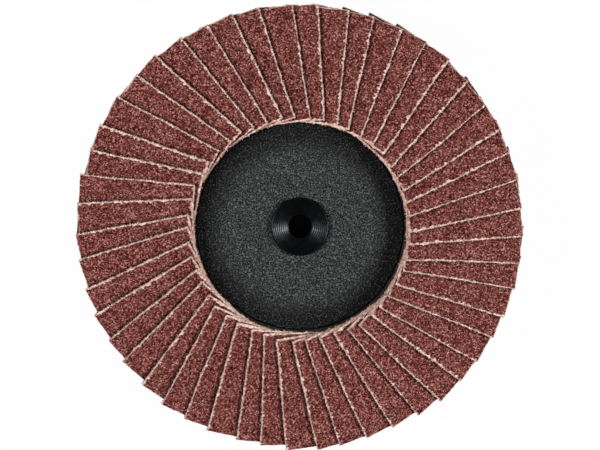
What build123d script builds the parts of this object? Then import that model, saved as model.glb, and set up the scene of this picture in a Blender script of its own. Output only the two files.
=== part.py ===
from build123d import *
import math
import os
import random

os.makedirs("parts", exist_ok=True)

# A 75 mm quick-change flap disc, in millimetres.
# The disc's axis is Z and the abrasive side faces +Z. The origin is on the axis,
# in the rear face of the hub's flange, where the disc seats on its holder.

# ---- Driving dimensions -----------------------------------------------------

# Abrasive flaps
flap_count = 50
flap_length = 19.25          # outwards, along the falling face
flap_width = 10.8            # across, measured up the flap's own slope
flap_thickness = 0.75        # cloth, bond and grain together
flap_inner_radius = 17.95    # from the axis to the middle of a flap's inner end
flap_inner_gap = 0.12        # air between two flaps at their inner ends
flap_outer_gap = 0.3         # and at their outer ends, where they spring apart a little

# How unevenly the flaps were laid
reach_spread = 0.25          # mm, in and out along the radius
climb_spread = 0.25          # mm, up and down the flap's own slope
slope_spread = 0.25          # degrees, about the flap's own length
yaw_mean = 1.0               # degrees, outer ends anticlockwise, seen from the front
yaw_spread = 1.1             # degrees
yaw_swing = 3.4              # degrees, a slow drift once round the disc
yaw_swing_peak = 238.0       # degrees clockwise from the top, where the drift is most
laying_seed = 7

# Resin bed that holds the flaps' feet
resin_under_flaps = 0.35
resin_height = 1.3
resin_rim_margin = 0.5       # plate left bare outside the resin

# Backing plate
flap_overhang = 2.1          # the flaps reach this far past the plate's rim
plate_rim_thickness = 1.5    # under the flaps, square to the disc's plane
plate_floor_thickness = 2.2  # in the middle, inside the flaps
floor_inset = 0.35           # from the flaps' inner ends to the raised floor's wall
plate_edge_chamfer = 0.3
floor_edge_chamfer = 0.25

# Hub, one moulding
hub_front_radius = 4.87
hub_plate_clearance = 0.1
hub_front_rise = 0.9         # front face above the plate's floor
hub_front_land = 0.2
funnel_depth = 1.25
hub_hole_radius = 1.95
hub_hole_depth = 8.5
flange_radius = 12.0
flange_thickness = 1.6
flange_chamfer = 0.5

# Quick-change stub behind the flange
pilot_radius = 5.2
pilot_length = 1.8
thread_radius = 5.0
thread_length = 6.2
thread_pitch = 3.2
thread_groove_depth = 0.8
thread_groove_mouth = 2.0    # width at the thread's crest
thread_groove_floor = 0.9
thread_end_chamfer = 0.6
cutter_overshoot = 0.4       # the groove's cutter stands this far outside the crest

# ---- Heights and radii that follow ------------------------------------------

plate_rear_height = flange_thickness
seat_height = plate_rear_height + plate_rim_thickness
floor_height = plate_rear_height + plate_floor_thickness
floor_radius = flap_inner_radius - floor_inset
plate_radius = flap_inner_radius + flap_length - flap_overhang
hub_front_height = floor_height + hub_front_rise
stub_end_height = -pilot_length - thread_length
half_pitch_angle = 180 / flap_count


def packed_slope(distance):
    """How steeply flaps lie where they touch, this far out from their inner ends, in degrees."""
    outer_share = distance / flap_length
    gap = flap_inner_gap + (flap_outer_gap - flap_inner_gap) * outer_share
    sine = math.sin(math.radians(half_pitch_angle))
    nearest_radius = flap_inner_radius + distance - reach_spread - flap_width / 2 * sine
    pitch = 2 * sine * nearest_radius
    return math.degrees(math.asin((flap_thickness + gap) / pitch))


def half_height(slope):
    """Half of the height that a sloping flap takes up."""
    slope = math.radians(slope)
    return (flap_width * math.sin(slope) + flap_thickness * math.cos(slope)) / 2


def section_plane(distance, angle, yaw, reach, climb, slope_error):
    """Plane across a flap: x runs up its slope, and the normal runs outwards along it."""
    slope = packed_slope(distance) + slope_error
    heading = angle + yaw
    start = Vector(flap_inner_radius + reach, 0, 0).rotate(Axis.Z, angle)
    outwards = Vector(1, 0, 0).rotate(Axis.Z, heading)
    uphill = Vector(0, -1, 0).rotate(Axis.X, -slope).rotate(Axis.Z, heading)
    height = seat_height + resin_under_flaps + half_height(slope)
    return Plane(
        origin=start + outwards * distance + uphill * climb + Vector(0, 0, height),
        x_dir=uphill,
        z_dir=outwards,
    )


def section_corners(plane):
    """The four corners of a flap's cross-section."""
    across = flap_width / 2
    through = flap_thickness / 2
    spots = ((-across, -through), (across, -through), (across, through), (-across, through))
    return [plane.from_local_coords(Vector(x, y, 0)) for x, y in spots]


def folded_side(corners):
    """A slightly twisted four-cornered side, as four triangles that meet in its middle."""
    middle = sum(corners, Vector(0, 0, 0)) / len(corners)
    next_corners = corners[1:] + corners[:1]
    return [Face(Wire.make_polygon([here, there, middle])) for here, there in zip(corners, next_corners)]


def make_flap(name, *laid):
    """One strip of abrasive cloth, which lies flatter towards its outer end."""
    inner = section_corners(section_plane(0, *laid))
    outer = section_corners(section_plane(flap_length, *laid))
    faces = [Face(Wire.make_polygon(inner)), Face(Wire.make_polygon(outer))]
    for here, there in ((0, 1), (1, 2), (2, 3), (3, 0)):
        faces += folded_side([inner[here], inner[there], outer[there], outer[here]])
    strip = Solid(Shell(faces))
    with BuildPart() as flap:
        add(strip)
    flap.part.label = name
    return flap.part


def make_flaps():
    """The ring of flaps, numbered clockwise from the top, seen from the front."""
    laying = random.Random(laying_seed)
    flaps = []
    for index in range(flap_count):
        clock_angle = (index + 0.5) * 360 / flap_count
        drift = yaw_swing * math.cos(math.radians(clock_angle - yaw_swing_peak))
        yaw = yaw_mean + drift + laying.uniform(-yaw_spread, yaw_spread)
        reach = laying.uniform(-reach_spread, reach_spread)
        climb = laying.uniform(-climb_spread, climb_spread)
        slope_error = laying.uniform(-slope_spread, slope_spread)
        name = f"flap_{index + 1:02d}"
        flaps.append(make_flap(name, 90 - clock_angle, yaw, reach, climb, slope_error))
    return flaps


# ---- Flaps ------------------------------------------------------------------

flaps = make_flaps()
for flap in flaps:
    export_step(flap, f"parts/{flap.label}.step")

# ---- Backing plate ----------------------------------------------------------

plate_bore_radius = hub_front_radius + hub_plate_clearance

with BuildPart() as backing_plate:
    with BuildSketch(Plane.XZ) as plate_profile:
        with BuildLine():
            Polyline(
                (plate_bore_radius, plate_rear_height),
                (plate_radius, plate_rear_height),
                (plate_radius, seat_height),
                (floor_radius, seat_height),
                (floor_radius, floor_height),
                (plate_bore_radius, floor_height),
                close=True,
            )
        make_face()
        rim_corners = plate_profile.vertices().sort_by(Axis.X)[-2:]
        chamfer(rim_corners, plate_edge_chamfer)
        floor_corner = plate_profile.vertices().group_by(Axis.Y)[-1].sort_by(Axis.X)[-1]
        chamfer(floor_corner, floor_edge_chamfer)
    revolve(axis=Axis.Z)
backing_plate.part.label = "backing_plate"
export_step(backing_plate.part, "parts/backing_plate.step")

# ---- Adhesive ring ----------------------------------------------------------
# Cured resin on the plate's rim, moulded round the flaps' lower edges.

resin_outer_radius = plate_radius - resin_rim_margin

with BuildPart() as adhesive_ring:
    with BuildSketch(Plane.XZ):
        with BuildLine():
            Polyline(
                (floor_radius, seat_height),
                (resin_outer_radius, seat_height),
                (resin_outer_radius, seat_height + resin_height),
                (floor_radius, seat_height + resin_height),
                close=True,
            )
        make_face()
    revolve(axis=Axis.Z)
    add(flaps, mode=Mode.SUBTRACT)
adhesive_ring.part.label = "adhesive_ring"
export_step(adhesive_ring.part, "parts/adhesive_ring.step")

# ---- Hub --------------------------------------------------------------------

funnel_outer_radius = hub_front_radius - hub_front_land
funnel_end_height = hub_front_height - funnel_depth
hole_floor_height = hub_front_height - hub_hole_depth
groove_flank = (thread_groove_mouth - thread_groove_floor) / 2 / thread_groove_depth
cutter_half_mouth = thread_groove_mouth / 2 + groove_flank * cutter_overshoot

with BuildPart() as hub:
    with BuildSketch(Plane.XZ):
        with BuildLine():
            Polyline(
                (0, stub_end_height),
                (thread_radius - thread_end_chamfer, stub_end_height),
                (thread_radius, stub_end_height + thread_end_chamfer),
                (thread_radius, -pilot_length),
                (pilot_radius, -pilot_length),
                (pilot_radius, 0),
                (flange_radius - flange_chamfer, 0),
                (flange_radius, flange_chamfer),
                (flange_radius, flange_thickness),
                (hub_front_radius, flange_thickness),
                (hub_front_radius, hub_front_height),
                (funnel_outer_radius, hub_front_height),
                (hub_hole_radius, funnel_end_height),
                (hub_hole_radius, hole_floor_height),
                (0, hole_floor_height),
                close=True,
            )
        make_face()
    revolve(axis=Axis.Z)
    with BuildLine() as thread_path:
        Helix(
            pitch=thread_pitch,
            height=thread_length,
            radius=thread_radius,
            center=(0, 0, stub_end_height - thread_pitch / 2),
        )
    groove_start = Plane(
        origin=thread_path.line @ 0,
        x_dir=(1, 0, 0),
        z_dir=thread_path.line % 0,
    )
    with BuildSketch(groove_start):
        with BuildLine():
            Polyline(
                (cutter_overshoot, -cutter_half_mouth),
                (cutter_overshoot, cutter_half_mouth),
                (-thread_groove_depth, thread_groove_floor / 2),
                (-thread_groove_depth, -thread_groove_floor / 2),
                close=True,
            )
        make_face()
    sweep(path=thread_path.line, is_frenet=True, mode=Mode.SUBTRACT)
hub.part.label = "hub"
export_step(hub.part, "parts/hub.step")
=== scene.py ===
# %% [markdown]
# # A quick-change flap disc
# Fifty strips of brown abrasive cloth lean over one another on a round plate, with a
# black moulded hub in the middle. The solids come packed, in metres, with +Z along the
# disc's axis towards the abrasive side. This lesson gives each of them its real surface:
# grit and cut cloth on the strips, texture on the plate, and moulding marks on the hub.

import math
import random

import bmesh
import bpy
import numpy as np
from mathutils import Matrix, Vector, noise


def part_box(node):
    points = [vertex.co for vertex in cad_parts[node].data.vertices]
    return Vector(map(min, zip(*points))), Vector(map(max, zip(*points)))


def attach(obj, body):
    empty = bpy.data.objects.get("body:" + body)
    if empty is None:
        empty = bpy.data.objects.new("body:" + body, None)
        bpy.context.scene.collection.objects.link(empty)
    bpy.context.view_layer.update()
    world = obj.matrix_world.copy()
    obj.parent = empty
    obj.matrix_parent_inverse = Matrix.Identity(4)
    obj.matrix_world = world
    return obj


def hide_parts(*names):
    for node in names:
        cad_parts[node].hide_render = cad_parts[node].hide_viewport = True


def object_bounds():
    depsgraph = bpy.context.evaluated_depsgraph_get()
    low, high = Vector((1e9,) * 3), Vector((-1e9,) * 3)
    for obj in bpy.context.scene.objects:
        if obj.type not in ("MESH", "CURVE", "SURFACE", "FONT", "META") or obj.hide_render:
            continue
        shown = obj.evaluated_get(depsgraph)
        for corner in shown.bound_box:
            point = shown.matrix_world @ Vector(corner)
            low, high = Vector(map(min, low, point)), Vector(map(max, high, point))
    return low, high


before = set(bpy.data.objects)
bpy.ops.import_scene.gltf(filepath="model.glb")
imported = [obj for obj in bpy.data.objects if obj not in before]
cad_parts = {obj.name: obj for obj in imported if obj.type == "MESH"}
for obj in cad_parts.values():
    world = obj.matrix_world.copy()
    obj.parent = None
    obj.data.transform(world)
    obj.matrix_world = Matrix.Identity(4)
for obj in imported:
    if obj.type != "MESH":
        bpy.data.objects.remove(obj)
cad_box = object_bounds()
MM = 0.001
flap_names = sorted(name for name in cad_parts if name.startswith("flap_"))
print(len(flap_names), "flaps; the solids' box is", cad_box)

# %% [markdown]
# ## Colours and nodes
# Colours are written as the hex values that a picture shows, and one function turns them
# into the linear values that the renderer works with. A second small function adds a
# shader node with its settings and its links, so each material below reads as a list of
# what it is made of.

# %% Two helpers for materials
def colour(hex_text):
    """A linear colour from the hex value that a screen shows."""
    channels = [int(hex_text[i:i + 2], 16) / 255 for i in (0, 2, 4)]
    linear = [c / 12.92 if c <= 0.04045 else ((c + 0.055) / 1.055) ** 2.4 for c in channels]
    return (*linear, 1.0)


def add(tree, kind, inputs=None, stops=None, **settings):
    """Adds a node: its settings, its inputs as values or as other nodes' outputs, a ramp's stops."""
    node = tree.nodes.new(kind)
    for name, value in settings.items():
        setattr(node, name, value)
    for key, value in (inputs or {}).items():
        if isinstance(value, bpy.types.NodeSocket):
            tree.links.new(value, node.inputs[key])
        else:
            node.inputs[key].default_value = value
    for index, (position, tone) in enumerate(stops or []):
        ramp = node.color_ramp.elements
        stop = ramp[index] if index < 2 else ramp.new(position)
        stop.position = position
        stop.color = tone
    return node


def new_material(name):
    """An empty node material and its tree, with the output and object coordinates in place."""
    material = bpy.data.materials.new(name)
    material.use_nodes = True
    tree = material.node_tree
    tree.nodes.clear()
    place = add(tree, "ShaderNodeTexCoord").outputs["Object"]
    return material, tree, place


def finish_surface(tree, inputs):
    """Ends a material with the main shader, given its inputs."""
    shader = add(tree, "ShaderNodeBsdfPrincipled", inputs)
    add(tree, "ShaderNodeOutputMaterial", {"Surface": shader.outputs["BSDF"]})


def per_mm(size):
    """The texture scale at which one feature is size millimetres across."""
    return 1 / (size * MM)


print("helpers ready; a 0.3 mm grain is a scale of", round(per_mm(0.3)))

# %% [markdown]
# ## Brown aluminium-oxide grain
# The strips' working face is fused brown alumina, about 80 grit, so a grain is some
# 0.19 mm across, stuck down in a red-brown resin. Each grain is one Voronoi cell with a
# tone of its own: dark where it is deep in resin, pink where a facet free of resin catches
# the light. Slow noise makes the coat thicker and thinner in patches. Along the foot of
# the strip above each face is darkened, painted shade for the crevice there.

# %% Grain
GRAIN_MM = 0.19          # about 80 grit
GRAIN_HEIGHT_MM = 0.14
CLUMP_MM = 1.6           # patches where the coat is richer or leaner
CLUMP_TONE = 0.05        # how far they shift a grain's tone, either way
# Painted shade along the foot of the strip above, for the crevice there:
SHADE_LINE_MM = (0.25, 0.65)   # full and gone, measured from the foot of the strip above
SHADE_LINE_WANDER_MM = 0.5     # how far the painted shade's edge wanders
SHADE_LINE_TONE = 0.58         # the grain's brightness under full painted shade
FROM_COVER = "from_cover_mm"  # each point's distance from that foot


def make_grain():
    """Fused brown alumina in tinted resin: gritty and matt, with dark pits and pink facets."""
    material, tree, place = new_material("brown_alumina_grain")
    grain = add(tree, "ShaderNodeTexVoronoi", {"Vector": place, "Scale": per_mm(GRAIN_MM)})
    facet = add(tree, "ShaderNodeSeparateColor", {"Color": grain.outputs["Color"]})
    clump = add(tree, "ShaderNodeTexNoise", {"Vector": place, "Scale": per_mm(CLUMP_MM), "Detail": 2.0})
    lean = add(tree, "ShaderNodeMapRange", {
        "Value": clump.outputs["Fac"], "From Min": 0.3, "From Max": 0.7, "To Min": -CLUMP_TONE,
        "To Max": CLUMP_TONE})
    tone = add(tree, "ShaderNodeMath", {0: facet.outputs["Red"], 1: lean.outputs["Result"]}, operation="ADD")
    tint = add(tree, "ShaderNodeValToRGB", {"Fac": tone.outputs["Value"]}, stops=[
        (0.0, colour("200605")), (1.0, colour("D29E94")), (0.2, colour("491815")),
        (0.5, colour("733731")), (0.8, colour("9D5D56")), (0.93, colour("BA7E75"))])
    # Painted shade: the grain darkens along the foot of the strip above.
    foot = add(tree, "ShaderNodeAttribute", attribute_name=FROM_COVER)
    patchy = add(tree, "ShaderNodeMath", {
        0: clump.outputs["Fac"], 1: -SHADE_LINE_WANDER_MM, 2: foot.outputs["Fac"]}, operation="MULTIPLY_ADD")
    painted_shade_line = add(tree, "ShaderNodeMapRange", {
        "Value": patchy.outputs["Value"], "From Min": SHADE_LINE_MM[0] - SHADE_LINE_WANDER_MM / 2,
        "From Max": SHADE_LINE_MM[1] - SHADE_LINE_WANDER_MM / 2, "To Min": SHADE_LINE_TONE})
    foot_shaded_tint = add(tree, "ShaderNodeVectorMath", {
        0: tint.outputs["Color"], "Scale": painted_shade_line.outputs["Result"]}, operation="SCALE")
    height = add(tree, "ShaderNodeMath", {
        0: grain.outputs["Distance"], 1: facet.outputs["Green"]}, operation="SUBTRACT")
    relief = add(tree, "ShaderNodeBump", {
        "Height": height.outputs["Value"], "Distance": GRAIN_HEIGHT_MM * MM, "Strength": 0.6}, invert=True)
    shine = add(tree, "ShaderNodeMapRange", {
        "Value": facet.outputs["Blue"], "To Min": 0.8, "To Max": 0.45})
    finish_surface(tree, {
        "Base Color": foot_shaded_tint.outputs["Vector"], "Roughness": shine.outputs["Result"],
        "Normal": relief.outputs["Normal"], "Specular IOR Level": 0.1})
    return material


grain_material = make_grain()
print("made", grain_material.name)

# %% [markdown]
# ## Cotton backing
# Under the grain is a sized cotton cloth. Where the strip was cut it shows as a cream
# line of loose yarn ends, turning dark brown towards its back. Noise as fine as a yarn
# colours it, and finer noise lifts its fibres. The back itself is a plain weave
# stiffened with tan resin, and two crossed waves at the yarns' spacing make it.

# %% Cloth
YARN_MM = 0.42           # yarn spacing
WEAVE_MAP = "weave_mm"   # each strip's own flat map, in millimetres
CLOTH_LEVEL = "cloth_level"  # 0 at the cloth's back and 1 at its top
UNITS_PER_WAVE = 2 * math.pi / 20  # how soon Blender's wave texture repeats at a scale of 1
FIBRE_MM = 0.12
FIBRE_HEIGHT_MM = 0.05
WEAVE_HEIGHT_MM = 0.12


def make_cut_cloth():
    """Undyed cotton at a cut edge: pale cream, fluffy and quite matt."""
    material, tree, place = new_material("cut_cotton_edge")
    yarns = add(tree, "ShaderNodeTexNoise", {"Vector": place, "Scale": per_mm(YARN_MM), "Detail": 3.0})
    tint = add(tree, "ShaderNodeValToRGB", {"Fac": yarns.outputs["Fac"]}, stops=[
        (0.32, colour("AA7A6C")), (0.64, colour("FFEADD")), (0.47, colour("E6BBAB"))])
    # The cut turns dark brown towards the cloth's back.
    level = add(tree, "ShaderNodeAttribute", attribute_name=CLOTH_LEVEL)
    pale_share = add(tree, "ShaderNodeMapRange", {
        "Value": level.outputs["Fac"], "From Min": 0.1, "From Max": 0.5})
    darker_back = add(tree, "ShaderNodeMix", {
        "Factor": pale_share.outputs["Result"], "A": colour("431C17"), "B": tint.outputs["Color"]},
        data_type="RGBA")
    fibres = add(tree, "ShaderNodeTexNoise", {"Vector": place, "Scale": per_mm(FIBRE_MM), "Detail": 2.0})
    relief = add(tree, "ShaderNodeBump", {
        "Height": fibres.outputs["Fac"], "Distance": FIBRE_HEIGHT_MM * MM, "Strength": 0.6})
    finish_surface(tree, {
        "Base Color": darker_back.outputs["Result"], "Roughness": 0.9, "Normal": relief.outputs["Normal"],
        "Specular IOR Level": 0.2, "Sheen Weight": 0.3, "Sheen Roughness": 0.5})
    return material


def make_cloth_back():
    """Plain-woven cotton filled with tan resin: a fine check with a dull shine."""
    material, tree, _ = new_material("resin_filled_cotton_back")
    flat = add(tree, "ShaderNodeUVMap", uv_map=WEAVE_MAP).outputs["UV"]
    weave = []
    for direction in ("X", "Y"):
        wave = add(tree, "ShaderNodeTexWave", {
            "Vector": flat, "Scale": UNITS_PER_WAVE / YARN_MM, "Distortion": 1.2, "Detail": 2.0},
            bands_direction=direction)
        weave.append(wave.outputs["Fac"])
    check = add(tree, "ShaderNodeMath", {0: weave[0], 1: weave[1]}, operation="MULTIPLY")
    tint = add(tree, "ShaderNodeValToRGB", {"Fac": check.outputs["Value"]}, stops=[
        (0.05, colour("7A5848")), (0.8, colour("C7A48E"))])
    relief = add(tree, "ShaderNodeBump", {
        "Height": check.outputs["Value"], "Distance": WEAVE_HEIGHT_MM * MM, "Strength": 0.7})
    finish_surface(tree, {
        "Base Color": tint.outputs["Color"], "Roughness": 0.65, "Normal": relief.outputs["Normal"]})
    return material


cut_material = make_cut_cloth()
back_material = make_cloth_back()
print("made", cut_material.name, "and", back_material.name)

# %% [markdown]
# ## Plate, resin and hub
# The plate is glass-fibre filled resin with a fine pitted skin, nearly black, with pale
# fibre ends that show as specks. Its front is darkened towards the strips, painted shade
# for where their wall shades it, and only the highest specks stand clear of it. The
# resin under the strips' feet is the brown-black glue itself, glossy and uneven. The hub
# is black nylon from a turned mould, so its funnel carries faint rings round the axis.
# The funnel's wall is also dished by less than a tenth of a millimetre, flatter at the
# hole and steeper at the rim, which bends its highlights.

# %% The plate's finish
SPECK_MM = 0.24          # the grain of the moulded skin
PIT_HEIGHT_MM = 0.1
SPARKLE_MM = 0.24        # a fibre's cut end, drawn coarse enough to show
# The painted shade that the strips' wall casts on the plate's front, darkest at the rim:
SHADE_RING_STARTS_MM = 11.5    # from the axis
SHADE_RING_FULL_MM = 16.3
SHADE_RING_PATCH_MM = 4.0
SHADE_RING_WANDER_MM = 3.0     # how far the painted shade's edge wanders
SHADE_RING_TONE = 0.05         # the plate's brightness under full painted shade
BARE_SPECKS = 0.8        # how far the highest specks stand clear of the painted shade
FRONT_SIDE_MM = (0.3, 1.0)  # above the plate's rear face, which the painted shade leaves alone


def make_plate():
    """Moulded glass-fibre resin: charcoal, pitted, with pale specks and a rim darkened by painted shade."""
    material, tree, place = new_material("moulded_glass_fibre_plate")
    rear_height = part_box("backing_plate")[0][2]
    mottle = add(tree, "ShaderNodeTexNoise", {
        "Vector": place, "Scale": per_mm(SPECK_MM), "Detail": 3.0, "Roughness": 0.7})
    tint = add(tree, "ShaderNodeValToRGB", {"Fac": mottle.outputs["Fac"]}, stops=[
        (0.36, colour("020202")), (0.68, colour("727674")), (0.5, colour("242726"))])
    fibres = add(tree, "ShaderNodeTexVoronoi", {"Vector": place, "Scale": per_mm(SPARKLE_MM)})
    chance = add(tree, "ShaderNodeSeparateColor", {"Color": fibres.outputs["Color"]})
    sparkle = add(tree, "ShaderNodeMapRange", {
        "Value": chance.outputs["Red"], "From Min": 0.94, "From Max": 1.0})
    speckled = add(tree, "ShaderNodeMix", {
        "Factor": sparkle.outputs["Result"], "A": tint.outputs["Color"], "B": colour("6C716F")},
        data_type="RGBA")
    flat = add(tree, "ShaderNodeVectorMath", {0: place, 1: (1, 1, 0)}, operation="MULTIPLY")
    radius = add(tree, "ShaderNodeVectorMath", {0: flat.outputs["Vector"]}, operation="LENGTH")
    # Painted shade: the front darkens towards the strips, all but the highest specks and the rear face.
    drift = add(tree, "ShaderNodeTexNoise", {
        "Vector": place, "Scale": per_mm(SHADE_RING_PATCH_MM), "Detail": 6.0, "Roughness": 0.65})
    shifted = add(tree, "ShaderNodeMath", {
        0: drift.outputs["Fac"], 1: SHADE_RING_WANDER_MM * MM, 2: radius.outputs["Value"]},
        operation="MULTIPLY_ADD")
    painted_shade_ring = add(tree, "ShaderNodeMapRange", {
        "Value": shifted.outputs["Value"], "From Min": (SHADE_RING_STARTS_MM + SHADE_RING_WANDER_MM / 2) * MM,
        "From Max": (SHADE_RING_FULL_MM + SHADE_RING_WANDER_MM / 2) * MM, "To Min": 1.0, "To Max": SHADE_RING_TONE},
        interpolation_type="SMOOTHSTEP")
    height = add(tree, "ShaderNodeSeparateXYZ", {"Vector": place})
    rear = add(tree, "ShaderNodeMapRange", {
        "Value": height.outputs["Z"], "From Min": rear_height + FRONT_SIDE_MM[0] * MM,
        "From Max": rear_height + FRONT_SIDE_MM[1] * MM, "To Min": 1.0, "To Max": 0.0})
    bare = add(tree, "ShaderNodeMapRange", {
        "Value": mottle.outputs["Fac"], "From Min": 0.52, "From Max": 0.7, "To Max": BARE_SPECKS})
    pale_share = add(tree, "ShaderNodeMath", {
        0: bare.outputs["Result"], 1: rear.outputs["Result"]}, operation="MAXIMUM")
    tone = add(tree, "ShaderNodeMath", {
        0: painted_shade_ring.outputs["Result"], 1: pale_share.outputs["Value"]}, operation="MAXIMUM")
    rim_shaded_tint = add(tree, "ShaderNodeVectorMath", {
        0: speckled.outputs["Result"], "Scale": tone.outputs["Value"]}, operation="SCALE")
    pits = add(tree, "ShaderNodeTexNoise", {"Vector": place, "Scale": per_mm(SPECK_MM), "Detail": 3.0})
    relief = add(tree, "ShaderNodeBump", {
        "Height": pits.outputs["Fac"], "Distance": PIT_HEIGHT_MM * MM, "Strength": 0.9})
    finish_surface(tree, {
        "Base Color": rim_shaded_tint.outputs["Vector"], "Roughness": 0.62, "Normal": relief.outputs["Normal"],
        "Specular IOR Level": 0.12})
    return material


plate_material = make_plate()
print("made", plate_material.name)


# %% The resin's and the hub's finishes
FLOW_MM = 1.2            # waves in the glue
FLOW_HEIGHT_MM = 0.25
MOULD_RING_MM = 0.34     # drawn coarse enough to show
RING_HEIGHT_MM = 0.02
HAZE_MM = 0.8
FUNNEL_MM = (1.95, 4.67)  # the hole's and the rim's radius
DISHING_MM = 0.34        # times share * (share - DISH_CLOSES), from the hole to the rim
DISH_CLOSES = 0.91


def make_resin():
    """Cured phenolic glue: brown-black, half glossy and wavy."""
    material, tree, place = new_material("cured_phenolic_glue")
    flow = add(tree, "ShaderNodeTexNoise", {"Vector": place, "Scale": per_mm(FLOW_MM), "Detail": 3.0})
    tint = add(tree, "ShaderNodeValToRGB", {"Fac": flow.outputs["Fac"]}, stops=[
        (0.3, colour("1C1412")), (0.7, colour("3A2A25"))])
    relief = add(tree, "ShaderNodeBump", {
        "Height": flow.outputs["Fac"], "Distance": FLOW_HEIGHT_MM * MM, "Strength": 0.7})
    finish_surface(tree, {
        "Base Color": tint.outputs["Color"], "Roughness": 0.35, "Normal": relief.outputs["Normal"]})
    return material


def make_nylon():
    """Black moulded nylon: deep black, satin, with the mould's turning rings."""
    material, tree, place = new_material("black_moulded_nylon")
    rings = add(tree, "ShaderNodeTexWave", {
        "Vector": place, "Scale": UNITS_PER_WAVE * per_mm(MOULD_RING_MM), "Distortion": 0.6,
        "Detail": 2.0}, wave_type="RINGS", rings_direction="Z")
    haze = add(tree, "ShaderNodeTexNoise", {"Vector": place, "Scale": per_mm(HAZE_MM), "Detail": 3.0})
    polish = add(tree, "ShaderNodeMapRange", {
        "Value": haze.outputs["Fac"], "From Min": 0.3, "From Max": 0.7, "To Min": 0.24, "To Max": 0.34})
    flat = add(tree, "ShaderNodeVectorMath", {0: place, 1: (1, 1, 0)}, operation="MULTIPLY")
    radius = add(tree, "ShaderNodeVectorMath", {0: flat.outputs["Vector"]}, operation="LENGTH")
    outwards = add(tree, "ShaderNodeMapRange", {
        "Value": radius.outputs["Value"], "From Min": FUNNEL_MM[0] * MM, "From Max": FUNNEL_MM[1] * MM})
    past_low = add(tree, "ShaderNodeMath", {
        0: outwards.outputs["Result"], 1: DISH_CLOSES}, operation="SUBTRACT")
    dish = add(tree, "ShaderNodeMath", {
        0: outwards.outputs["Result"], 1: past_low.outputs["Value"]}, operation="MULTIPLY")
    height = add(tree, "ShaderNodeSeparateXYZ", {"Vector": place})
    in_front = add(tree, "ShaderNodeMath", {0: height.outputs["Z"], 1: 0.0}, operation="GREATER_THAN")
    front_dish = add(tree, "ShaderNodeMath", {
        0: dish.outputs["Value"], 1: in_front.outputs["Value"]}, operation="MULTIPLY")
    dished = add(tree, "ShaderNodeBump", {
        "Height": front_dish.outputs["Value"], "Distance": DISHING_MM * MM, "Strength": 1.0})
    tint = add(tree, "ShaderNodeValToRGB", {"Fac": haze.outputs["Fac"]}, stops=[
        (0.3, colour("040405")), (0.7, colour("08090A"))])
    relief = add(tree, "ShaderNodeBump", {
        "Height": rings.outputs["Fac"], "Distance": RING_HEIGHT_MM * MM, "Strength": 0.4,
        "Normal": dished.outputs["Normal"]})
    finish_surface(tree, {
        "Base Color": tint.outputs["Color"], "Roughness": polish.outputs["Result"],
        "Normal": relief.outputs["Normal"], "Specular IOR Level": 0.22,
        "Specular Tint": colour("F0F8FF")})
    return material


for node_name, material in (("backing_plate", plate_material), ("adhesive_ring", make_resin())):
    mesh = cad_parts[node_name].data
    mesh.materials.clear()
    mesh.materials.append(material)
    print(node_name, "is", material.name)

# %% [markdown]
# ## The hub
# The solid's mesh is loose triangles, so its round faces would show as flats. A copy is
# merged, its flat triangles are joined, and the round edges that the mould leaves slightly
# soft are bevelled. Edges that turn less than the limit are then shaded smooth.

# %% A merged, softened copy of the hub
MERGE_MM = 0.002
FLAT_DEGREES = 0.3       # triangles that turn less than this are one flat face
SHARP_DEGREES = 32.0
MOULD_EDGE_MM = 0.14
FRONT_OF_THREAD_MM = -0.5  # rings behind this height keep their sharp edges


def is_moulded_ring(edge):
    """Whether an edge is part of a sharp circle about the axis, in front of the thread."""
    first, second = (vert.co for vert in edge.verts)
    level = abs(first.z - second.z) < MERGE_MM * MM
    centred = abs(first.xy.length - second.xy.length) < MERGE_MM * MM
    in_front = first.z > FRONT_OF_THREAD_MM * MM
    return level and centred and in_front and edge.calc_face_angle(0) > math.radians(SHARP_DEGREES / 2)


def make_hub(material):
    """The hub's solid with smooth round faces and softened rings."""
    mesh = bmesh.new()
    mesh.from_mesh(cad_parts["hub"].data)
    bmesh.ops.remove_doubles(mesh, verts=mesh.verts, dist=MERGE_MM * MM)
    bmesh.ops.dissolve_limit(
        mesh, angle_limit=math.radians(FLAT_DEGREES), use_dissolve_boundaries=False,
        verts=mesh.verts, edges=mesh.edges, delimit=set())
    rings = [edge for edge in mesh.edges if is_moulded_ring(edge)]
    bmesh.ops.bevel(
        mesh, geom=rings, offset=MOULD_EDGE_MM * MM, offset_type="OFFSET", segments=3,
        profile=0.5, affect="EDGES", clamp_overlap=True, material=-1)
    for face in mesh.faces:
        face.smooth = True
    for edge in mesh.edges:
        edge.smooth = edge.calc_face_angle(0) < math.radians(SHARP_DEGREES)
    data = bpy.data.meshes.new("moulded_hub")
    mesh.to_mesh(data)
    print("the hub has", len(mesh.faces), "faces after", len(rings), "ring edges were softened")
    mesh.free()
    data.materials.append(material)
    piece = bpy.data.objects.new(data.name, data)
    bpy.context.scene.collection.objects.link(piece)
    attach(piece, "root")
    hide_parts("hub")


make_hub(make_nylon())

# %% [markdown]
# ## A strip's corners
# Each strip is a long bar that lies flatter towards its outer end, so its eight corners say
# all about its place. The solid's principal axes point along it, up its slope and square to
# its face, which is enough to tell one corner from another.

# %% Read a strip from its solid
NEAR_END = 0.9           # a point this far along the way to an end belongs to it


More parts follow.
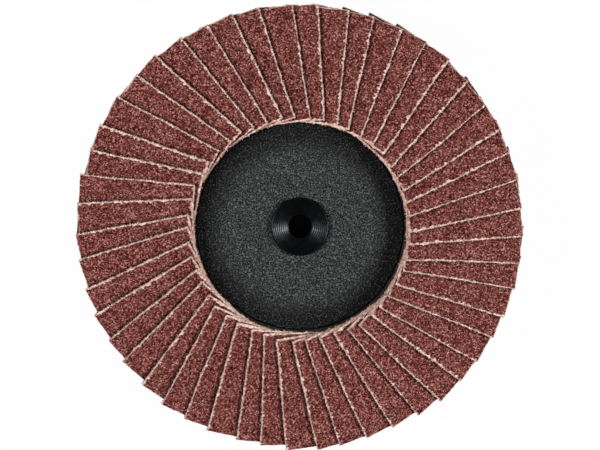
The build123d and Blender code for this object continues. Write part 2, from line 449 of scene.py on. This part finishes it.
def strip_corners(name):
    """A strip's corners, by its end (inner, outer), side (low, raised) and layer (back, face)."""
    points = np.array([vert.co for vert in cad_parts[name].data.vertices], float)
    middle = points.mean(axis=0)
    axes = np.linalg.svd(points - middle)[2]
    along = axes[0] * np.sign(axes[0] @ middle)
    uphill, square = (axis * np.sign(axis[2]) for axis in axes[1:])
    reach = (points - middle) @ along
    ends = []
    for end in (reach < reach.min() * NEAR_END, reach > reach.max() * NEAR_END):
        sides = []
        for sign in (-1, 1):
            corner_points = points[end & ((points - middle) @ uphill * sign > 0)]
            levels = corner_points @ square
            sides.append((corner_points[levels.argmin()], corner_points[levels.argmax()]))
        ends.append(sides)
    return np.array(ends)


first_corners = strip_corners(flap_names[0])
strip_length, strip_width, strip_thickness = (
    float(np.linalg.norm(first_corners[other] - first_corners[0, 0, 0]))
    for other in ((1, 0, 0), (0, 1, 0), (0, 0, 1)))
print("a strip is", [round(size / MM, 2) for size in (strip_length, strip_width, strip_thickness)], "mm")

# %% [markdown]
# ## One strip of abrasive cloth
# A strip is a thin box cut into a fine grid. Two close planes split its wall into cloth,
# a narrow ledge of bare cloth and grain, and cloth and grain each get their own finish. At
# the inner end the cotton is brushed up over the grain, so that whole end is cloth. Real
# strips are guillotined: the grain chips back from the cut, the yarns stand out past it,
# and the whole strip bows a little. So one plain grid is made, and every strip is a copy
# with its own noise.

# %% The plain grid
CELLS_ALONG = 152
CELLS_ACROSS = 22
CROWDING = 1.35          # cells get finer towards the raised edge, the one that shows
CLOTH_SHARE = 0.64       # of the strip's thickness
LEDGE_MM = 0.03          # where chipped grain bares the top of the cloth
END_PALER = 0.35       # the inner ends' brushed cotton darkens less towards its back than the long cuts
TOUCHING = 1e-6          # metres: a point this near an end lies on it


def make_plain_strip():
    """A box the size of a strip, from its inner end along +X, in a fine grid with two layers."""
    mesh = bmesh.new()
    bmesh.ops.create_cube(mesh, size=1.0)
    bmesh.ops.translate(mesh, verts=mesh.verts, vec=(0.5, 0, 0))
    for direction, cuts in ((0, CELLS_ALONG - 1), (1, CELLS_ACROSS - 1)):
        ways = [edge for edge in mesh.edges
                if abs((edge.verts[0].co - edge.verts[1].co)[direction]) > 0.5]
        bmesh.ops.subdivide_edges(mesh, edges=ways, cuts=cuts, use_grid_fill=True)
    for vert in mesh.verts:
        vert.co.y = 0.5 - max(0.5 - vert.co.y, 0) ** CROWDING
    bmesh.ops.scale(mesh, verts=mesh.verts, vec=(strip_length, strip_width, strip_thickness))
    for level in (cloth_top, cloth_top + LEDGE_MM * MM):
        everything = mesh.verts[:] + mesh.edges[:] + mesh.faces[:]
        bmesh.ops.bisect_plane(mesh, geom=everything, plane_co=(0, 0, level), plane_no=(0, 0, 1))
    bmesh.ops.recalc_face_normals(mesh, faces=mesh.faces)
    level = mesh.verts.layers.float.new(CLOTH_LEVEL)
    mesh.verts.layers.float.new(FROM_COVER)
    for vert in mesh.verts:
        share = (vert.co.z + strip_thickness / 2) / (cloth_top + strip_thickness / 2)
        vert[level] = min(1, share + (END_PALER if vert.co.x < TOUCHING else 0))
    weave_map = mesh.loops.layers.uv.new(WEAVE_MAP)
    for face in mesh.faces:
        if face.normal.z < -0.5:
            face.material_index = 2
        elif face.calc_center_median().z < cloth_top + LEDGE_MM * MM or face.normal.x < -0.5:
            face.material_index = 1
        for loop in face.loops:
            loop[weave_map].uv = loop.vert.co.xy / MM
    return mesh


cloth_top = (CLOTH_SHARE - 0.5) * strip_thickness
plain_strip = make_plain_strip()
print("plain strip:", len(plain_strip.verts), "points,", len(plain_strip.faces), "faces")

# %% [markdown]
# The noise that shapes a strip is smooth, so it is read at each point of the grid. Grit
# lifts and sinks the face by a few hundredths of a millimetre. At each cut the grain layer
# is chipped back and the cloth layer let out, both unevenly: most at the inner ends,
# where a cream band of bare cloth shows, and least along the low edge, which is covered.

# %% Wear a strip in
GRIT_MM = 0.45
GRIT_LIFT_MM = 0.045
CHIP_MM = 0.6
CHIP_RATES = (2.2, 0.8)  # how much the broad and the fine noise chip away
CHIPS_FADE_MM = 1.6      # the face is drawn in over this distance from a cut
YARN_END_MM = 0.5        # the noise that lets yarns out by different lengths
TUFT = 0.4               # how far a yarn stands out at its middle, before that noise
KNOT_MM = 1.7            # longer stretches where the cloth stands out more
KNOT = (0.2, 1.4)        # where in their noise they start, and how far they stand out
SUNK = 0.15              # how far the cloth between the yarns lies back
BOW_MM = 0.14            # at the free outer end, where strips have room to move
WAVE_MM = 9.0
SEED_STEP = 7.31         # how far apart two seeds lie in the noise
CUTS = (                 # axis, direction, least and most chipped back, how far yarns stand out
    (0, -1, 0.15, 0.5, 0.2),
    (0, 1, 0.03, 0.22, 0.12),
    (1, 1, 0.0, 0.5, 0.26),
    (1, -1, 0.02, 0.12, 0.06))


def wobble(along, size_mm, seed, line=0.0):
    """Smooth noise from -1 to 1 with features of one size, different for each seed."""
    return noise.noise(Vector((along / (size_mm * MM), line / (size_mm * MM), seed * SEED_STEP)))


def chip(along, seed):
    """How much grain is gone at one place along a cut, from 0 to 1."""
    broad = wobble(along, CHIP_MM, seed)
    fine = wobble(along, CHIP_MM / 2, seed + 0.4)
    return min(1, CHIP_RATES[0] * broad * broad + CHIP_RATES[1] * abs(fine))


def yarns_out(along, level, seed):
    """How far a cut's cloth stands out, as a share of its most: a tuft at each yarn, and some knots."""
    across_yarn = 2 * (along / (YARN_MM * MM) % 1) - 1
    tuft = (1 - across_yarn ** 2) * (TUFT + wobble(along, YARN_END_MM, seed + level / MM))
    knot = max(0, wobble(along, KNOT_MM, seed + 0.6) - KNOT[0])
    return tuft + KNOT[1] * knot - SUNK


def wear_point(point, seed):
    """Where a point of the plain strip really is on a cut, gritty and slightly bowed strip."""
    worn = point.copy()
    is_grain = point.z > cloth_top + 0.5 * LEDGE_MM * MM
    if point.z > 0.49 * strip_thickness:
        worn.z += wobble(point.x, GRIT_MM, seed, point.y) * GRIT_LIFT_MM * MM
    for number, (axis, direction, least, most, yarns) in enumerate(CUTS):
        limit = (strip_length if direction > 0 else 0) if axis == 0 else direction * strip_width / 2
        depth = abs(limit - point[axis]) / MM
        along, cut_seed = point[1 - axis], seed + number * 0.13
        if is_grain and depth < CHIPS_FADE_MM:
            back = (least + (most - least) * chip(along, cut_seed)) * (1 - depth / CHIPS_FADE_MM)
            worn[axis] -= direction * back * MM
        elif not is_grain and depth < TOUCHING / MM:
            worn[axis] += direction * yarns_out(along, point.z, cut_seed) * yarns * MM
    worn.z += wobble(point.x, WAVE_MM, seed + 11, point.y * 0.4) * BOW_MM * MM * point.x / strip_length
    worn.y += wobble(point.x, WAVE_MM, seed + 17) * BOW_MM * MM
    return worn


sample = wear_point(Vector((strip_length, 0, strip_thickness / 2)), 1)
print("a point at the outer end moves to", [round(value / MM, 3) for value in sample])

# %% [markdown]
# Loose yarn ends stand out of the cuts here and there, along the exposed long edge and
# over the inner end, with a single one at the outer end. Each is a thin cone that leans
# out of the cloth layer at random.

# %% Loose yarn ends
FRAYS = (15, 16, 1)      # at the raised edge, the inner end and the outer end
FRAY_THICK_MM = 0.065    # the radius at its root
FRAY_TIP = 0.4           # the tip's share of that
FRAY_LENGTH_MM = (0.15, 0.5)
FRAY_LEAN = 0.9
FRAY_OUT = 0.3           # how far its middle stands out, as a share of its length
FRAY_SIDES = 5


def add_fray(mesh, chance, spot, outward):
    """One loose yarn end: a thin leaning cone that stands out of the cut at spot."""
    length = chance.uniform(*FRAY_LENGTH_MM) * MM
    made = bmesh.ops.create_cone(
        mesh, segments=FRAY_SIDES, radius1=FRAY_THICK_MM * MM, radius2=FRAY_THICK_MM * MM * FRAY_TIP,
        depth=length, cap_ends=True, cap_tris=False)
    lean = Vector((chance.uniform(-1, 1), chance.uniform(-1, 1), chance.uniform(-0.3, 0.5)))
    heading = (outward + lean * FRAY_LEAN).normalized()
    turn = Vector((0, 0, 1)).rotation_difference(heading).to_matrix().to_4x4()
    place = Matrix.Translation(spot + heading * length * FRAY_OUT) @ turn
    bmesh.ops.transform(mesh, matrix=place, verts=made["verts"])
    level = mesh.verts.layers.float[CLOTH_LEVEL]
    for vert in made["verts"]:
        vert[level] = 1.0
        for face in vert.link_faces:
            face.material_index = 1


def add_frays(mesh, chance):
    """Scatters yarn ends along the exposed edge and over both ends of a strip."""
    half = strip_width / 2
    middle = (cloth_top - strip_thickness / 2) / 2
    for _ in range(FRAYS[0]):
        add_fray(mesh, chance, Vector((chance.uniform(0, strip_length), half, middle)), Vector((0, 1, 0)))
    for count, x, outward in ((FRAYS[1], 0, -1), (FRAYS[2], strip_length, 1)):
        for _ in range(count):
            spot = Vector((x, chance.uniform(-half, half), middle))
            add_fray(mesh, chance, spot, Vector((outward, 0, 0)))


def lay_between(corners, points):
    """Moves points of the plain strip to their places between a strip's eight corners."""
    shares = points / (strip_length, strip_width, strip_thickness) + (0, 0.5, 0.5)
    along, across, through = (shares[:, axis, None] for axis in range(3))
    layers = corners[:, :, 0, None] * (1 - through) + corners[:, :, 1, None] * through
    sides = layers[:, 0] * (1 - across) + layers[:, 1] * across
    return sides[0] * (1 - along) + sides[1] * along


def distance_from_cover(corners, points):
    """How far points lie, seen from the front, beyond the raised edge of the strip above, in mm."""
    inner, outer = corners[:, 1, 0, :2]
    along = (outer - inner) / np.linalg.norm(outer - inner)
    return ((points[:, :2] - inner) @ (along[1], -along[0])) / MM


def make_strip(name, cover_name, seed):
    """One worn strip in place of its plain solid, under the strip that covers its low side."""
    mesh = plain_strip.copy()
    for vert in mesh.verts:
        vert.co = wear_point(vert.co, seed)
    add_frays(mesh, random.Random(seed))
    laid = lay_between(strip_corners(name), np.array([vert.co for vert in mesh.verts]))
    beyond = distance_from_cover(strip_corners(cover_name), laid)
    from_cover = mesh.verts.layers.float[FROM_COVER]
    for vert, place, distance in zip(mesh.verts, laid, beyond):
        vert.co = place
        vert[from_cover] = distance
    mesh.normal_update()
    bmesh.ops.recalc_face_normals(mesh, faces=mesh.faces)
    data = bpy.data.meshes.new(name.replace("flap", "abrasive_flap"))
    mesh.to_mesh(data)
    mesh.free()
    for material in (grain_material, cut_material, back_material):
        data.materials.append(material)
    piece = bpy.data.objects.new(data.name, data)
    bpy.context.scene.collection.objects.link(piece)
    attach(piece, "root")
    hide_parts(name)
    return piece


flap_pieces = [
    make_strip(name, flap_names[index - 1], index + 1) for index, name in enumerate(flap_names)]
print(len(flap_pieces), "strips,", sum(len(p.data.polygons) for p in flap_pieces), "faces")

# %% [markdown]
# ## Floor and light
# The disc is seen on plain white. A floor below it takes the soft shadow, and most of its
# white is a plain glow that only the eye, polish and glass see, so that it puts no extra
# light on the disc. A soft lamp as wide as a hand stands on each side, low enough for a
# thin shadow beside each raised edge. A dim even sky fills the rest, and is pale only
# where it is looked at.

# %% Floor
FLOOR_SIZE = 3.0         # metres
FLOOR_GLOW = 0.97        # the share of its white that is glow
FLOOR_GAP_MM = 0.05      # keeps the paper off the stub's flat end
floor_height = cad_box[0][2] - FLOOR_GAP_MM * MM


def make_floor_material():
    """Seamless white paper: bright to the camera, with a faint shadow, and clear from below."""
    material, tree, _ = new_material("white_paper_sweep")
    path = add(tree, "ShaderNodeLightPath")
    paper = add(tree, "ShaderNodeBsdfDiffuse", {"Color": colour("FFFFFF")})
    glow = add(tree, "ShaderNodeEmission", {"Color": colour("FFFFFF"), "Strength": 1.0})
    mirrored = add(tree, "ShaderNodeMath", {
        0: path.outputs["Is Glossy Ray"], 1: path.outputs["Is Transmission Ray"]}, operation="MAXIMUM")
    seen = add(tree, "ShaderNodeMath", {
        0: path.outputs["Is Camera Ray"], 1: mirrored.outputs["Value"]}, operation="MAXIMUM")
    share = add(tree, "ShaderNodeMath", {0: seen.outputs["Value"], 1: FLOOR_GLOW}, operation="MULTIPLY")
    mix = add(tree, "ShaderNodeMixShader", {
        0: share.outputs["Value"], 1: paper.outputs["BSDF"], 2: glow.outputs["Emission"]})
    clear = add(tree, "ShaderNodeBsdfTransparent")
    side = add(tree, "ShaderNodeNewGeometry")
    one_sided = add(tree, "ShaderNodeMixShader", {
        0: side.outputs["Backfacing"], 1: mix.outputs["Shader"], 2: clear.outputs["BSDF"]})
    add(tree, "ShaderNodeOutputMaterial", {"Surface": one_sided.outputs["Shader"]})
    return material


floor_mesh = bmesh.new()
bmesh.ops.create_grid(floor_mesh, x_segments=1, y_segments=1, size=FLOOR_SIZE / 2)
bmesh.ops.translate(floor_mesh, verts=floor_mesh.verts, vec=(0, 0, floor_height))
floor_data = bpy.data.meshes.new("floor")
floor_mesh.to_mesh(floor_data)
floor_mesh.free()
floor_data.materials.append(make_floor_material())
floor = bpy.data.objects.new("floor", floor_data)
bpy.context.scene.collection.objects.link(floor)
print("the floor is at", round(floor_height / MM, 2), "mm")

# %% Lamps
LAMP_SIZE = 0.09         # metres
LAMP_DISTANCE = 0.54     # metres
LAMP_WATTS = 1.82
LAMPS = (("left_softbox", 180, 55), ("right_softbox", 0, 46))  # bearing and height, degrees


def add_lamp(name, bearing, height):
    """A square soft lamp at a bearing round the disc and a height above its plane."""
    bearing, height = math.radians(bearing), math.radians(height)
    spot = LAMP_DISTANCE * Vector((
        math.cos(height) * math.cos(bearing), math.cos(height) * math.sin(bearing), math.sin(height)))
    light = bpy.data.lights.new(name, "AREA")
    light.size = LAMP_SIZE
    light.energy = LAMP_WATTS
    lamp = bpy.data.objects.new(name, light)
    lamp.location = spot
    lamp.rotation_euler = (-spot).to_track_quat("-Z", "Y").to_euler()
    bpy.context.scene.collection.objects.link(lamp)


for lamp_name, lamp_bearing, lamp_height in LAMPS:
    add_lamp(lamp_name, lamp_bearing, lamp_height)
print("two lamps of", LAMP_WATTS, "W")

# %% Sky
SKY_STRENGTH = 0.045     # what lights the disc
SKY_SEEN = 0.9           # what the eye and glass see behind it
SKY_MIRRORED = 0.08      # what polish mirrors, dim enough to leave black satin black


def make_sky():
    """An even white sky: dim as a light and in reflections, pale as a background."""
    world = bpy.data.worlds.new("even_sky")
    world.use_nodes = True
    tree = world.node_tree
    tree.nodes.clear()
    path = add(tree, "ShaderNodeLightPath")
    lit = add(tree, "ShaderNodeMapRange", {
        "Value": path.outputs["Is Glossy Ray"], "To Min": SKY_STRENGTH, "To Max": SKY_MIRRORED})
    seen = add(tree, "ShaderNodeMath", {
        0: path.outputs["Is Camera Ray"], 1: path.outputs["Is Transmission Ray"]}, operation="MAXIMUM")
    strength = add(tree, "ShaderNodeMapRange", {
        "Value": seen.outputs["Value"], "To Min": lit.outputs["Result"], "To Max": SKY_SEEN})
    light = add(tree, "ShaderNodeBackground", {
        "Color": colour("FFFFFF"), "Strength": strength.outputs["Result"]})
    add(tree, "ShaderNodeOutputWorld", {"Surface": light.outputs["Background"]})
    return world


bpy.context.scene.world = make_sky()
print("a sky of", SKY_STRENGTH)

# %% [markdown]
# ## Camera
# The disc is seen almost straight on, from a little above its axis, close enough for the
# ring of strips to lean outwards slightly. The picture is 600 by 450 points and shows
# about 5.97 of them to the millimetre, and the lens follows from that and the distance.

# %% Camera
IMAGE_WIDTH = 600
POINTS_PER_MM = 5.97
CAMERA_DISTANCE = 0.45   # metres
CAMERA_TILT = (-1.0, 5.7)  # degrees from the disc's axis, towards +X and towards +Y
FACE_HEIGHT = 7.0 * MM   # where the strips' outer corners are
DISC_OFFSET = (0.4, -3.5)  # points right of and above the middle of the picture
SENSOR_MM = 36

look_from = Vector((*(math.tan(math.radians(angle)) for angle in CAMERA_TILT), 1)).normalized()
image_right = Vector((0, 1, 0)).cross(look_from).normalized()
image_up = look_from.cross(image_right)
aim = Vector((0, 0, FACE_HEIGHT))
aim -= image_right * DISC_OFFSET[0] / POINTS_PER_MM * MM
aim -= image_up * DISC_OFFSET[1] / POINTS_PER_MM * MM
camera_data = bpy.data.cameras.new("camera")
camera_data.sensor_width = SENSOR_MM
camera_data.lens = SENSOR_MM * CAMERA_DISTANCE / (IMAGE_WIDTH / POINTS_PER_MM * MM)
camera_data.clip_start = 0.01
camera = bpy.data.objects.new("camera", camera_data)
camera.matrix_world = Matrix((image_right, image_up, look_from)).transposed().to_4x4()
camera.location = aim + look_from * CAMERA_DISTANCE
bpy.context.scene.collection.objects.link(camera)
bpy.context.scene.camera = camera
bpy.context.scene.view_settings.view_transform = "Standard"
print("lens", round(camera_data.lens, 1), "mm at", CAMERA_DISTANCE, "m")
